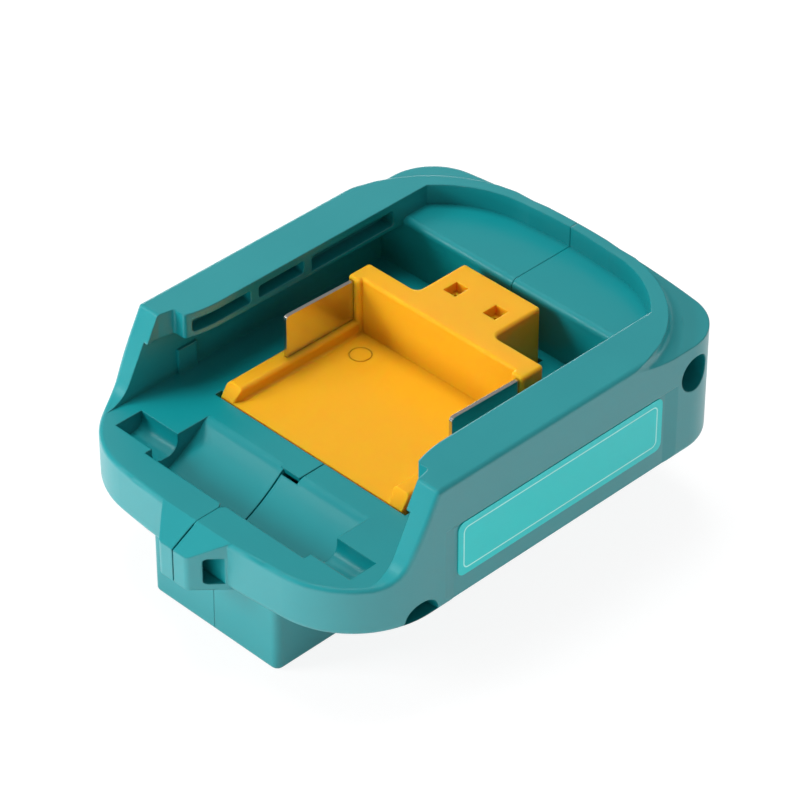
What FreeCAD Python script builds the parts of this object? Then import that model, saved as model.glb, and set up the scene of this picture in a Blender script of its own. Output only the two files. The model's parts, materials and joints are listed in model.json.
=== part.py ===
"""USB battery adapter: a clamshell casing that slides onto a tool battery and carries two USB sockets.

Row frame, in millimetres: +Z is up with the battery side uppermost, X is the width, Y the length.
The lanyard loop is at -Y, the D-shaped rim at +Y. Z = 0 is the lowest face, that of the socket block.
"""

import FreeCAD
import Part
import Sketcher
import math
import os

from FreeCAD import Vector

doc = FreeCAD.newDocument("UsbBatteryAdapter")
sheet = doc.addObject("Spreadsheet::Sheet", "Sizes")

SIZES = [
    # Casing, outside
    ("case_half_width", 39.7),
    ("back_level", 17.3),
    ("plate_level", 28.0),
    ("ledge_level", 40.2),
    ("deck_level", 41.6),
    ("rail_top_level", 44.7),
    ("front_corner_radius", 20.0),
    ("front_crown_y", -48.9),
    ("front_crown_radius", 200.0),
    ("rear_corner_radius", 11.2),
    ("rear_crown_y", 54.2),
    ("rear_crown_radius", 200.0),
    ("parting_gap", 0.1),
    ("case_wall", 2.0),
    ("back_edge_round", 1.5),
    ("casing_edge_round", 0.9),
    # Battery rails and the D-shaped rim
    ("rail_lip_half_gap", 29.5),
    ("rail_lip_front_y", -22.6),
    ("rail_lip_front_half_gap", 30.8),
    ("rail_lip_taper_length", 8.0),
    ("rail_entry_half_gap", 34.3),
    ("rail_lip_nose_round", 0.7),
    ("rail_notch_half_gap", 33.7),
    ("rail_notch_slope", 3.4),
    ("rail_notch_round", 0.6),
    ("rail_groove_half_width", 35.3),
    ("lip_front_underside", 39.3),
    ("lip_rear_underside", 38.6),
    ("slant_top_y", -26.0),
    ("slant_foot_y", -34.8),
    ("slant_foot_radius", 7.0),
    ("well_rear_y", 33.3),
    ("well_rear_round", 1.4),
    ("rim_inner_centre_x", 10.4),
    ("rim_inner_centre_y", 23.8),
    ("rim_inner_radius", 25.0),
    ("rim_inner_crown", 0.6),
    ("rim_outer_centre_y", 22.8),
    ("rim_outer_radius", 28.2),
    ("rim_outer_crown", 0.4),
    ("rim_cove_radius", 2.9),
    # Recessed windows in the lips
    ("window_depth", 3.0),
    ("window_top_level", 43.1),
    ("window_corner_round", 0.6),
    ("front_window_floor", 40.3),
    ("rear_window_floor", 39.6),
    ("front_window_start", -21.0),
    ("front_window_end", -6.8),
    ("middle_window_start", -4.8),
    ("middle_window_end", 6.9),
    ("rear_window_start", 9.0),
    ("rear_window_end", 30.8),
    ("guide_pad_start", -20.9),
    ("guide_pad_width", 4.7),
    ("guide_pad_height", 5.6),
    ("guide_pad_thickness", 0.6),
    # Latch recess in the front plate
    ("latch_front_y", -41.6),
    ("latch_rear_y", -26.4),
    ("latch_half_width", 21.3),
    ("latch_floor_front_level", 19.5),
    ("latch_floor_radius", 36.0),
    ("latch_crest_round", 3.0),
    ("ramp_gap_half_width", 0.16),
    ("ramp_gap_depth", 0.8),
    ("parting_notch_half_width", 0.8),
    ("parting_notch_length", 1.0),
    ("parting_notch_depth", 1.2),
    ("latch_pocket_front_y", -39.9),
    ("latch_pocket_rear_y", -33.5),
    ("latch_pocket_end_x", 31.4),
    ("latch_pocket_floor_level", 24.1),
    ("latch_pocket_foot_round", 2.6),
    # Lanyard loop
    ("loop_root_y", -48.1),
    ("loop_tip_y", -54.2),
    ("loop_root_half_width", 9.2),
    ("loop_tip_half_width", 3.6),
    ("loop_tip_level", 24.7),
    ("loop_groove", 0.35),
    ("loop_hole_front_y", -52.0),
    ("loop_hole_rear_y", -49.0),
    ("loop_hole_bottom", 18.7),
    ("loop_hole_top", 24.5),
    ("loop_hole_round", 0.8),
    ("loop_tip_round", 1.6),
    # Socket block
    ("block_half_width", 16.8),
    ("block_front_y", -44.7),
    ("block_rear_y", -14.7),
    ("block_corner_round", 1.5),
    ("block_edge_round", 0.8),
    ("block_side_wall", 2.2),
    ("block_floor", 1.8),
    ("block_rear_wall", 2.8),
    # Terminal holder
    ("holder_half_width", 24.1),
    ("holder_front_y", -19.9),
    ("holder_fit", 0.4),
    ("holder_floor_thickness", 3.0),
    ("holder_flange", 2.0),
    ("holder_flange_thickness", 1.5),
    ("corner_relief_width", 0.9),
    ("corner_relief_length", 1.7),
    ("side_rail_inner_x", 20.2),
    ("side_rail_height", 2.8),
    ("side_rail_foot_round", 0.6),
    ("side_rail_nose_slope", 1.9),
    ("side_rail_taper_width", 0.8),
    ("side_rail_taper_length", 3.4),
    ("wall_inset", 1.0),
    ("wall_front_y", 13.2),
    ("wall_rear_y", 18.0),
    ("holder_top_level", 40.5),
    ("tower_width", 3.1),
    ("tower_front_y", 12.2),
    ("stem_half_width", 10.1),
    ("stem_rear_y", 30.8),
    ("pin_hole_x", 5.2),
    ("pin_hole_y", 23.5),
    ("pin_hole_width", 3.2),
    ("pin_hole_length", 3.6),
    ("pin_hole_step", 2.2),
    ("pin_core_width", 1.9),
    ("pin_hole_depth", 8.0),
    ("holder_corner_round", 0.8),
    ("holder_edge_round", 0.7),
    ("stem_foot_round", 1.5),
    # Blade terminals
    ("blade_centre_x", 21.9),
    ("blade_thickness", 0.8),
    ("blade_front_y", -5.3),
    ("blade_socket_depth", 2.0),
    ("blade_front_top", 40.2),
    ("blade_rear_top", 39.6),
    ("blade_corner_round", 0.8),
    ("blade_seat_depth", 1.0),
    ("blade_tab_start", 2.0),
    ("blade_tab_length", 6.0),
    ("blade_tab_end_level", 21.0),
    ("blade_fit", 0.05),
    # Housing screws
    ("rear_screw_y", 41.7),
    ("rear_screw_level", 35.0),
    ("front_screw_y", -29.8),
    ("front_tunnel_floor", 17.9),
    ("screw_seat_x", 17.2),
    ("screw_length", 25.0),
    ("screw_radius", 1.1),
    ("screw_head_radius", 1.8),
    ("screw_head_height", 1.5),
    ("screw_cross_width", 0.6),
    ("screw_cross_length", 2.6),
    ("screw_cross_depth", 0.9),
    ("screw_tunnel_radius", 3.85),
    ("screw_hole_fit", 0.05),
    ("screw_boss_wall", 1.2),
    # Rating label and its panel
    ("panel_start_y", -21.4),
    ("panel_end_y", 34.1),
    ("panel_top", 34.6),
    ("panel_depth", 0.7),
    ("panel_slope_length", 2.9),
    ("label_start_y", -20.6),
    ("label_end_y", 33.3),
    ("label_bottom", 21.6),
    ("label_top", 33.8),
    ("label_thickness", 0.2),
    ("label_corner_radius", 1.6),
    # Circuit board and what is soldered to it
    ("board_level", 10.2),
    ("board_thickness", 1.6),
    ("board_fit", 0.1),
    ("board_rib_width", 1.0),
    ("board_rib_height", 1.3),
    ("board_rib_margin", 1.6),
    ("usb_centre_x", 7.6),
    ("usb_width", 13.0),
    ("usb_height", 5.6),
    ("usb_length", 14.0),
    ("usb_sheet", 0.3),
    ("usb_tongue_width", 11.1),
    ("usb_tongue_thickness", 1.8),
    ("usb_tongue_setback", 1.6),
    ("usb_back_thickness", 3.2),
    ("usb_contact_width", 1.0),
    ("usb_contact_pitch", 2.5),
    ("usb_contact_thickness", 0.2),
    ("usb_mouth_fit", 0.1),
    ("inductor_width", 7.0),
    ("inductor_height", 3.8),
    ("inductor_x", -9.0),
    ("part_row_y", -38.2),
    ("inductor_post_radius", 2.4),
    ("inductor_plate", 0.9),
    ("capacitor_radius", 2.5),
    ("capacitor_height", 4.2),
    ("capacitor_base", 0.8),
    ("input_capacitor_x", 5.2),
    ("output_capacitor_x", 10.8),
    ("chip_x", -1.5),
    ("chip_width", 4.0),
    ("chip_length", 5.0),
    ("chip_height", 1.5),
    ("chip_pin_reach", 1.0),
    ("chip_pin_width", 0.4),
    ("chip_pin_pitch", 1.27),
    ("chip_pin_height", 0.7),
    # Button, switch and indicator
    ("button_x", 5.6),
    ("button_level", 13.9),
    ("button_width", 6.0),
    ("button_height", 2.8),
    ("button_proud", 0.6),
    ("button_fit", 0.1),
    ("button_flange", 0.6),
    ("button_flange_thickness", 0.8),
    ("switch_width", 6.0),
    ("switch_depth", 2.6),
    ("switch_height", 3.6),
    ("plunger_radius", 0.9),
    ("plunger_length", 0.8),
    ("plunger_gap", 0.6),
    ("lens_x", -5.6),
    ("lens_radius", 1.5),
    ("lens_proud", 0.2),
    ("lens_fit", 0.05),
    ("lens_collar", 0.6),
    ("lens_collar_thickness", 0.8),
    ("led_width", 2.0),
    ("led_depth", 1.2),
    ("led_gap", 0.3),
    # Port cover and its hinge
    ("cover_half_width", 14.3),
    ("cover_thickness", 1.5),
    ("cover_hinge_level", 3.2),
    ("cover_top_level", 11.3),
    ("cover_fit", 0.1),
    ("cover_pin_radius", 0.5),
    ("cover_pin_length", 1.2),
    ("cover_pin_fit", 0.05),
    ("cover_grip_height", 0.8),
    ("cover_grip_proud", 0.5),
    # Tongue of the left half across the parting line
    ("tongue_width", 4.1),
    ("tongue_thickness", 1.0),
    ("tongue_side_gap", 0.25),
    ("tongue_slot", 0.9),
    ("tongue_slot_floor", 21.0),
    # Supply leads
    ("lead_radius", 0.8),
    ("lead_level", 21.8),
    ("lead_drop_x", 11.7),
    ("lead_drop_y", -20.9),
    ("lead_turn_y", -8.0),
    ("lead_bend_radius", 3.0),
]

BIG = 80.0  # reach of a cut that runs out into the open


class Size:
    """A length as a number together with the formula that ties it to the sheet."""

    def __init__(self, number, formula):
        self.number = number
        self.formula = formula

    def __add__(self, other):
        other = as_size(other)
        return Size(self.number + other.number, "(%s + %s)" % (self.formula, other.formula))

    def __sub__(self, other):
        other = as_size(other)
        return Size(self.number - other.number, "(%s - %s)" % (self.formula, other.formula))

    def __mul__(self, other):
        other = as_size(other)
        return Size(self.number * other.number, "(%s * %s)" % (self.formula, other.formula))

    def __truediv__(self, other):
        other = as_size(other)
        return Size(self.number / other.number, "(%s / %s)" % (self.formula, other.formula))

    def __neg__(self):
        return Size(-self.number, "(0 - %s)" % self.formula)

    __radd__ = __add__
    __rmul__ = __mul__

    def __rsub__(self, other):
        return as_size(other) - self


def as_size(value):
    if isinstance(value, Size):
        return value
    return Size(float(value), "%r" % float(value))


def root(value):
    """Square root of a size, which stays tied to the sheet."""
    return Size(math.sqrt(value.number), "sqrt(%s)" % value.formula)


class SizeTable:
    """The driving dimensions, read by name."""


S = SizeTable()
for row, (alias, number) in enumerate(SIZES, start=1):
    sheet.set("A%d" % row, alias)
    sheet.set("B%d" % row, str(number))
    sheet.setAlias("B%d" % row, alias)
    setattr(S, alias, Size(number, "Sizes.%s" % alias))
doc.recompute()

PLANES = {"XY": "XY_Plane", "XZ": "XZ_Plane", "YZ": "YZ_Plane"}


# Helpers for bodies and sketches

def new_body(name):
    body = doc.addObject("PartDesign::Body", name)
    body.Label = name
    return body


def origin_plane(body, plane):
    for feature in body.Origin.OriginFeatures:
        if feature.Role == PLANES[plane]:
            return feature
    raise RuntimeError("no plane " + plane)


def arc_between(start, end, radius):
    """Arc of the shorter way round; a positive radius bulges to the right of the way from start to end."""
    chord = end - start
    half = chord.Length / 2
    size = abs(radius)
    rise = math.sqrt(max(size * size - half * half, 0.0))
    left = Vector(-chord.y, chord.x, 0).normalize()
    side = 1 if radius > 0 else -1
    centre = (start + end) * 0.5 + left * (rise * side)
    first = math.atan2(start.y - centre.y, start.x - centre.x)
    last = math.atan2(end.y - centre.y, end.x - centre.x)
    circle = Part.Circle(centre, Vector(0, 0, 1), size)
    if side > 0:
        return Part.ArcOfCircle(circle, first, last), 1, 2
    return Part.ArcOfCircle(circle, last, first), 2, 1


def add_sketch(body, name, plane, offset, points):
    """Closed outline on an origin plane moved by offset.

    Each point is (u, v) or (u, v, radius); a radius makes the side that starts there an arc.
    """
    sketch = body.newObject("Sketcher::SketchObject", name)
    sketch.AttachmentSupport = [(origin_plane(body, plane), "")]
    sketch.MapMode = "FlatFace"
    offset = as_size(offset)
    sketch.AttachmentOffset = FreeCAD.Placement(Vector(0, 0, offset.number), FreeCAD.Rotation())
    sketch.setExpression(".AttachmentOffset.Base.z", offset.formula)
    corners = [(as_size(p[0]), as_size(p[1])) for p in points]
    places = [Vector(u.number, v.number, 0) for u, v in corners]
    ends = []
    for index, point in enumerate(points):
        start = places[index]
        end = places[(index + 1) % len(points)]
        if len(point) == 3:
            shape, first, last = arc_between(start, end, as_size(point[2]).number)
        else:
            shape, first, last = Part.LineSegment(start, end), 1, 2
        sketch.addGeometry(shape, False)
        ends.append((first, last))
    for index in range(len(points)):
        following = (index + 1) % len(points)
        sketch.addConstraint(Sketcher.Constraint(
            "Coincident", index, ends[index][1], following, ends[following][0]))
    for index, (u, v) in enumerate(corners):
        for kind, size in (("DistanceX", u), ("DistanceY", v)):
            number = sketch.addConstraint(Sketcher.Constraint(
                kind, -1, 1, index, ends[index][0], size.number))
            sketch.setExpression("Constraints[%d]" % number, size.formula)
    for index, point in enumerate(points):
        if len(point) == 3:
            radius = as_size(point[2])
            if radius.number < 0:
                radius = -radius
            number = sketch.addConstraint(Sketcher.Constraint("Radius", index, radius.number))
            sketch.setExpression("Constraints[%d]" % number, radius.formula)
    return sketch


def extrude(body, kind, name, plane, start, end, points):
    """Pad or Pocket of an outline, from start to end along the positive axis normal to its plane."""
    start, end = as_size(start), as_size(end)
    towards_positive = plane != "XZ"
    sketch = add_sketch(body, name + "_outline", plane, start if towards_positive else -end, points)
    feature = body.newObject("PartDesign::" + kind, name)
    feature.Profile = sketch
    length = end - start
    feature.Length = length.number
    feature.setExpression("Length", length.formula)
    feature.Reversed = kind == "Pocket"
    return feature


def pad(body, name, plane, start, end, points):
    return extrude(body, "Pad", name, plane, start, end, points)


def pocket(body, name, plane, start, end, points):
    return extrude(body, "Pocket", name, plane, start, end, points)


def rectangle(u_low, u_high, v_low, v_high):
    return [(u_low, v_low), (u_high, v_low), (u_high, v_high), (u_low, v_high)]


def rounded_rectangle(u_low, u_high, v_low, v_high, radius):
    return [
        (u_low + radius, v_low),
        (u_high - radius, v_low, radius),
        (u_high, v_low + radius),
        (u_high, v_high - radius, radius),
        (u_high - radius, v_high),
        (u_low + radius, v_high, radius),
        (u_low, v_high - radius),
        (u_low, v_low + radius, radius),
    ]


def edges_where(shape, test):
    """Names of the edges whose two ends and middle all pass the test."""
    names = []
    for index, edge in enumerate(shape.Edges, start=1):
        middle = edge.valueAt((edge.FirstParameter + edge.LastParameter) / 2)
        points = [vertex.Point for vertex in edge.Vertexes] + [middle]
        if all(test(point) for point in points):
            names.append("Edge%d" % index)
    return names


def round_edges(body, name, radius, test):
    doc.recompute()
    base = body.Tip
    names = edges_where(base.Shape, test)
    if not names:
        raise RuntimeError("no edges for " + name)
    feature = body.newObject("PartDesign::Fillet", name)
    feature.Base = (base, names)
    feature.Radius = radius.number
    feature.setExpression("Radius", radius.formula)
    return feature


def near(value, size, tolerance=0.02):
    return abs(value - size.number) < tolerance


# Helpers for primitives and booleans

def box(name, x_low, x_high, y_low, y_high, z_low, z_high):
    """Box between two corners whose place and lengths follow the sheet."""
    solid = doc.addObject("Part::Box", name)
    solid.Label = name
    for prop, low, high in (("Length", x_low, x_high), ("Width", y_low, y_high), ("Height", z_low, z_high)):
        length = as_size(high) - as_size(low)
        setattr(solid, prop, length.number)
        solid.setExpression(prop, length.formula)
    place(solid, x_low, y_low, z_low)
    return solid


def place(solid, x, y, z):
    x, y, z = as_size(x), as_size(y), as_size(z)
    solid.Placement.Base = Vector(x.number, y.number, z.number)
    for axis, size in (("x", x), ("y", y), ("z", z)):
        solid.setExpression(".Placement.Base." + axis, size.formula)


TURNS = {
    "Z": FreeCAD.Rotation(),
    "X": FreeCAD.Rotation(Vector(0, 1, 0), 90),
    "Y": FreeCAD.Rotation(Vector(1, 0, 0), -90),
}


def rod(name, axis, radius, start, end, first, second):
    """Cylinder along an axis from start to end; first and second are its other two coordinates in order."""
    solid = doc.addObject("Part::Cylinder", name)
    solid.Label = name
    start, end = as_size(start), as_size(end)
    length = end - start
    solid.Radius = radius.number
    solid.setExpression("Radius", radius.formula)
    solid.Height = length.number
    solid.setExpression("Height", length.formula)
    solid.Placement.Rotation = TURNS[axis]
    spots = {"X": (start, first, second), "Y": (first, start, second), "Z": (first, second, start)}
    place(solid, *spots[axis])
    return solid


def fuse(name, shapes):
    solid = doc.addObject("Part::MultiFuse", name)
    solid.Label = name
    solid.Shapes = shapes
    return solid


def cut(name, base, tool):
    solid = doc.addObject("Part::Cut", name)
    solid.Label = name
    solid.Base = base
    solid.Tool = tool
    return solid


# Values that several pieces share

half_gap = S.parting_gap / 2
cavity_floor = S.back_level + S.case_wall
plate_underside = S.plate_level - S.case_wall
cavity_half_width = S.case_half_width - S.case_wall
cavity_front_y = S.latch_rear_y + S.case_wall
cavity_rear_y = S.rear_crown_y - 2 * S.case_wall
opening_half_width = S.holder_half_width + S.holder_fit
opening_front_y = S.holder_front_y - S.holder_fit
opening_rear_y = S.stem_rear_y + S.holder_fit
wall_half_width = S.holder_half_width - S.wall_inset
tower_inner_x = wall_half_width - S.tower_width
block_inner_x = S.block_half_width - S.block_side_wall
block_inner_front = S.block_front_y + S.case_wall
block_inner_rear = S.block_rear_y - S.block_rear_wall
board_top = S.board_level + S.board_thickness
usb_bottom = S.board_level - S.usb_height
cover_seat_y = S.block_rear_y - S.cover_thickness - S.cover_fit
cover_axis_y = S.block_rear_y - S.cover_thickness / 2
screw_hole_radius = S.screw_radius + S.screw_hole_fit
front_screw_level = S.front_tunnel_floor + S.screw_tunnel_radius / 2
blade_seat_level = S.plate_level + S.side_rail_height - S.blade_seat_depth
blade_rear_y = S.wall_front_y + S.blade_socket_depth
SCREWS = (("rear", S.rear_screw_y, S.rear_screw_level), ("front", S.front_screw_y, front_screw_level))


# Half of the casing, the +X side

def arc_radius_for(half_chord, rise):
    """Radius of the arc that is level at its crown and falls by rise over half_chord."""
    return (half_chord * half_chord + rise * rise) / (2 * rise)


def crowned_corner(crown_y, crown_radius, corner_radius, side):
    """Where a crowned end runs into its corner arc, and where that arc meets the straight side.

    Side is -1 for the front and 1 for the rear.
    """
    corner_x = S.case_half_width - corner_radius
    centre_distance = crown_radius - corner_radius
    setback = root(centre_distance * centre_distance - corner_x * corner_x)
    crown_centre_y = crown_y - side * crown_radius
    reach = crown_radius / centre_distance
    return corner_x * reach, crown_centre_y + side * reach * setback, crown_centre_y + side * setback


def casing_outline():
    """Plan of the +X half: crowned front and rear ends, round corners, straight side."""
    front_x, front_y, front_side_y = crowned_corner(
        S.front_crown_y, S.front_crown_radius, S.front_corner_radius, -1)
    rear_x, rear_y, rear_side_y = crowned_corner(
        S.rear_crown_y, S.rear_crown_radius, S.rear_corner_radius, 1)
    return [
        (half_gap, S.front_crown_y, S.front_crown_radius),
        (front_x, front_y, S.front_corner_radius),
        (S.case_half_width, front_side_y),
        (S.case_half_width, rear_side_y, S.rear_corner_radius),
        (rear_x, rear_y, S.rear_crown_radius),
        (half_gap, S.rear_crown_y),
    ]


def make_half_shell():
    body = new_body("half_shell")
    pad(body, "casing", "XY", S.back_level, S.rail_top_level, casing_outline())

    # Front ends of the side walls: a slant that sweeps into the open front plate
    slant_y = S.slant_top_y - S.slant_foot_y
    slant_z = S.rail_top_level - S.plate_level
    slant_length = root(slant_y * slant_y + slant_z * slant_z)
    sweep = S.slant_foot_radius * (slant_length - slant_y) / slant_z
    sweep_start_y = S.slant_foot_y - sweep
    pocket(body, "front_slant", "YZ", -1, BIG, [
        (-BIG, S.plate_level),
        (sweep_start_y, S.plate_level, S.slant_foot_radius),
        (S.slant_foot_y + sweep * slant_y / slant_length, S.plate_level + sweep * slant_z / slant_length),
        (S.slant_top_y, S.rail_top_level),
        (S.slant_top_y, S.rail_top_level + 5),
        (-BIG, S.rail_top_level + 5),
    ])
    round_edges(body, "casing_edge", S.casing_edge_round, lambda p: (
        p.z > S.plate_level.number - 0.01 and (
            p.x > half_gap.number + 0.5 or p.y < S.front_crown_y.number + 0.2
            or p.y > S.rear_crown_y.number - 0.2
            or (near(p.z, S.rail_top_level) and near(p.y, S.slant_top_y)))))
    round_edges(body, "back_edge", S.back_edge_round, lambda p: (
        near(p.z, S.back_level) and (p.x > half_gap.number + 0.5 or p.y < -40 or p.y > 40)))

    # Lanyard loop, with its sloping top and the gap between its two ears
    ear_x = S.loop_groove / 2
    pad(body, "loop", "XY", S.back_level, S.plate_level, [
        (ear_x, S.loop_tip_y),
        (S.loop_tip_half_width, S.loop_tip_y),
        (S.loop_root_half_width, S.loop_root_y),
        (S.loop_root_half_width, S.latch_front_y - 2),
        (ear_x, S.latch_front_y - 2),
    ])
    pocket(body, "loop_slope", "YZ", -1, S.loop_root_half_width, [
        (S.loop_root_y, S.plate_level),
        (S.loop_root_y, S.plate_level + 1),
        (S.loop_tip_y - 1, S.plate_level + 1),
        (S.loop_tip_y - 1, S.loop_tip_level),
        (S.loop_tip_y, S.loop_tip_level),
    ])
    round_edges(body, "loop_tip", S.loop_tip_round, lambda p: (
        near(p.x, S.loop_tip_half_width) and near(p.y, S.loop_tip_y)))
    pocket(body, "loop_hole", "YZ", -1, S.loop_root_half_width + 1, [
        (S.loop_hole_rear_y, S.loop_hole_bottom),
        (S.loop_hole_rear_y, S.loop_hole_top),
        (S.loop_hole_front_y + S.loop_hole_round, S.loop_hole_top, S.loop_hole_round),
        (S.loop_hole_front_y, S.loop_hole_top - S.loop_hole_round),
        (S.loop_hole_front_y, S.loop_hole_bottom + S.loop_hole_round, S.loop_hole_round),
        (S.loop_hole_front_y + S.loop_hole_round, S.loop_hole_bottom),
    ])

    # Socket block under the front
    pad(body, "block", "XY", 0, S.back_level + 1, rectangle(
        half_gap, S.block_half_width, S.block_front_y, S.block_rear_y))
    round_edges(body, "block_corners", S.block_corner_round, lambda p: (
        near(p.x, S.block_half_width) and p.z < S.back_level.number + 0.1
        and (near(p.y, S.block_front_y) or near(p.y, S.block_rear_y))))
    round_edges(body, "block_foot", S.block_edge_round, lambda p: (
        abs(p.z) < 0.01 and p.x > half_gap.number - 0.1
        and (p.x > half_gap.number + 0.5 or near(p.y, S.block_front_y) or near(p.y, S.block_rear_y))))

    # Mouth of the bay down to the rear ledge: tapered lip ends, straight lips, D-shaped rear
    rim_start_y = S.rim_inner_centre_y + root(
        S.rim_inner_radius * S.rim_inner_radius
        - (S.rail_lip_half_gap - S.rim_inner_centre_x) * (S.rail_lip_half_gap - S.rim_inner_centre_x))
    rim_back_inner = S.rim_inner_centre_y + S.rim_inner_radius
    inner_crown_radius = arc_radius_for(S.rim_inner_centre_x, S.rim_inner_crown)
    lip_flare = S.rail_lip_front_half_gap - S.rail_lip_half_gap
    lip_radius = arc_radius_for(S.rail_lip_taper_length, lip_flare)
    pocket(body, "bay_mouth", "XY", S.ledge_level, S.rail_top_level + 1, [
        (-1, S.rail_lip_front_y),
        (S.rail_lip_front_half_gap, S.rail_lip_front_y, -lip_radius),
        (S.rail_lip_half_gap, S.rail_lip_front_y + S.rail_lip_taper_length),
        (S.rail_lip_half_gap, rim_start_y, S.rim_inner_radius),
        (S.rim_inner_centre_x, rim_back_inner, inner_crown_radius),
        (0, rim_back_inner + S.rim_inner_crown),
        (-1, rim_back_inner + S.rim_inner_crown),
    ])
    pocket(body, "bay_entry", "XY", S.plate_level, S.rail_top_level + 1, [
        (-1, -BIG),
        (S.rail_entry_half_gap, -BIG),
        (S.rail_entry_half_gap, S.rail_lip_front_y - S.rail_notch_slope),
        (S.rail_notch_half_gap, S.rail_lip_front_y - S.rail_notch_round, S.rail_notch_round),
        (S.rail_notch_half_gap - S.rail_notch_round, S.rail_lip_front_y),
        (-1, S.rail_lip_front_y),
    ])
    pocket(body, "bay_well", "XY", S.plate_level, S.ledge_level + 0.5, [
        (-1, S.rail_lip_front_y - 1),
        (S.rail_lip_front_half_gap, S.rail_lip_front_y - 1),
        (S.rail_lip_front_half_gap, S.rail_lip_front_y, -lip_radius),
        (S.rail_lip_half_gap, S.rail_lip_front_y + S.rail_lip_taper_length),
        (S.rail_lip_half_gap, S.well_rear_y),
        (-1, S.well_rear_y),
    ])
    pocket(body, "rail_groove", "YZ", -1, S.rail_groove_half_width, [
        (sweep_start_y - 1, S.plate_level),
        (S.well_rear_y, S.plate_level),
        (S.well_rear_y, S.lip_rear_underside),
        (S.rail_lip_front_y, S.lip_front_underside),
        (sweep_start_y - 1, S.lip_front_underside),
    ])
    round_edges(body, "lip_nose", S.rail_lip_nose_round, lambda p: (
        near(p.x, S.rail_lip_front_half_gap) and near(p.y, S.rail_lip_front_y)))
    round_edges(body, "ledge_edge", S.well_rear_round, lambda p: (
        near(p.z, S.ledge_level) and near(p.y, S.well_rear_y)))
    pad(body, "guide_pad", "YZ", S.rail_groove_half_width - S.guide_pad_thickness,
        S.rail_groove_half_width + 1, rectangle(
            S.guide_pad_start, S.guide_pad_start + S.guide_pad_width,
            S.plate_level - 1, S.plate_level + S.guide_pad_height))

    # Windows that core out the lips
    for name, start, end, floor in (
            ("front_window", S.front_window_start, S.front_window_end, S.front_window_floor),
            ("middle_window", S.middle_window_start, S.middle_window_end, S.front_window_floor),
            ("rear_window", S.rear_window_start, S.rear_window_end, S.rear_window_floor)):
        pocket(body, name, "YZ", S.rail_lip_half_gap - 1, S.rail_lip_half_gap + S.window_depth,
               rounded_rectangle(start, end, floor, S.window_top_level, S.window_corner_round))

    # Latch recess: a curved ramp across the middle, with a round-bottomed pocket at its end
    pocket(body, "latch_ramp", "YZ", -1, S.latch_half_width, [
        (S.latch_front_y, S.latch_floor_front_level, S.latch_floor_radius),
        (S.latch_rear_y, S.plate_level),
        (S.latch_rear_y, S.plate_level + 1),
        (S.latch_front_y, S.plate_level + 1),
    ])
    round_edges(body, "latch_crest", S.latch_crest_round, lambda p: (
        near(p.z, S.plate_level) and near(p.y, S.latch_rear_y)))
    pocket(body, "ramp_gap", "YZ", -1, S.ramp_gap_half_width, [
        (S.latch_front_y, S.latch_floor_front_level - S.ramp_gap_depth, S.latch_floor_radius),
        (S.latch_rear_y, S.plate_level - S.ramp_gap_depth),
        (S.latch_rear_y, S.plate_level + 1),
        (S.latch_front_y, S.plate_level + 1),
    ])
    pocket(body, "parting_notch", "XY", S.plate_level - S.parting_notch_depth, S.plate_level + 1, [
        (-1, S.latch_front_y + 1),
        (-1, S.latch_front_y - S.parting_notch_length),
        (half_gap, S.latch_front_y - S.parting_notch_length),
        (S.parting_notch_half_width, S.latch_front_y),
        (S.parting_notch_half_width, S.latch_front_y + 1),
    ])
    foot_round = S.latch_pocket_foot_round
    pocket(body, "latch_pocket", "YZ", S.latch_half_width - 0.5, S.latch_pocket_end_x, [
        (S.latch_pocket_front_y, S.latch_pocket_floor_level + foot_round, foot_round),
        (S.latch_pocket_front_y + foot_round, S.latch_pocket_floor_level),
        (S.latch_pocket_rear_y - foot_round, S.latch_pocket_floor_level, foot_round),
        (S.latch_pocket_rear_y, S.latch_pocket_floor_level + foot_round),
        (S.latch_pocket_rear_y, S.plate_level + 1),
        (S.latch_pocket_front_y, S.plate_level + 1),
    ])

    # Hollow inside: under the plate, under the ledge, and in the block
    rear_slope = S.rear_corner_radius - S.case_wall
    pocket(body, "floor_cavity", "XY", cavity_floor, plate_underside, [
        (-1, cavity_front_y),
        (cavity_half_width, cavity_front_y),
        (cavity_half_width, cavity_rear_y - rear_slope),
        (cavity_half_width - rear_slope, cavity_rear_y),
        (-1, cavity_rear_y),
    ])
    pocket(body, "rear_cavity", "XY", plate_underside - 0.5, S.ledge_level - S.case_wall, [
        (-1, S.well_rear_y + S.case_wall),
        (cavity_half_width, S.well_rear_y + S.case_wall),
        (cavity_half_width, cavity_rear_y - rear_slope),
        (cavity_half_width - rear_slope, cavity_rear_y),
        (-1, cavity_rear_y),
    ])
    pocket(body, "holder_opening", "XY", plate_underside - 0.5, S.plate_level + 1, [
        (-1, opening_front_y),
        (opening_half_width + S.corner_relief_width, opening_front_y),
        (opening_half_width + S.corner_relief_width, opening_front_y + S.corner_relief_length),
        (opening_half_width, opening_front_y + S.corner_relief_length),
        (opening_half_width, S.wall_rear_y + S.holder_fit),
        (S.stem_half_width + S.stem_foot_round, S.wall_rear_y + S.holder_fit,
         S.holder_fit - S.stem_foot_round),
        (S.stem_half_width + S.holder_fit, S.wall_rear_y + S.stem_foot_round),
        (S.stem_half_width + S.holder_fit, opening_rear_y),
        (-1, opening_rear_y),
    ])
    pocket(body, "block_cavity", "XY", S.block_floor, S.back_level, rectangle(
        -1, block_inner_x, block_inner_front, block_inner_rear))
    pocket(body, "lead_passage", "XY", S.back_level - 0.5, cavity_floor + 0.5, rectangle(
        -1, block_inner_x, cavity_front_y, block_inner_rear))

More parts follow.
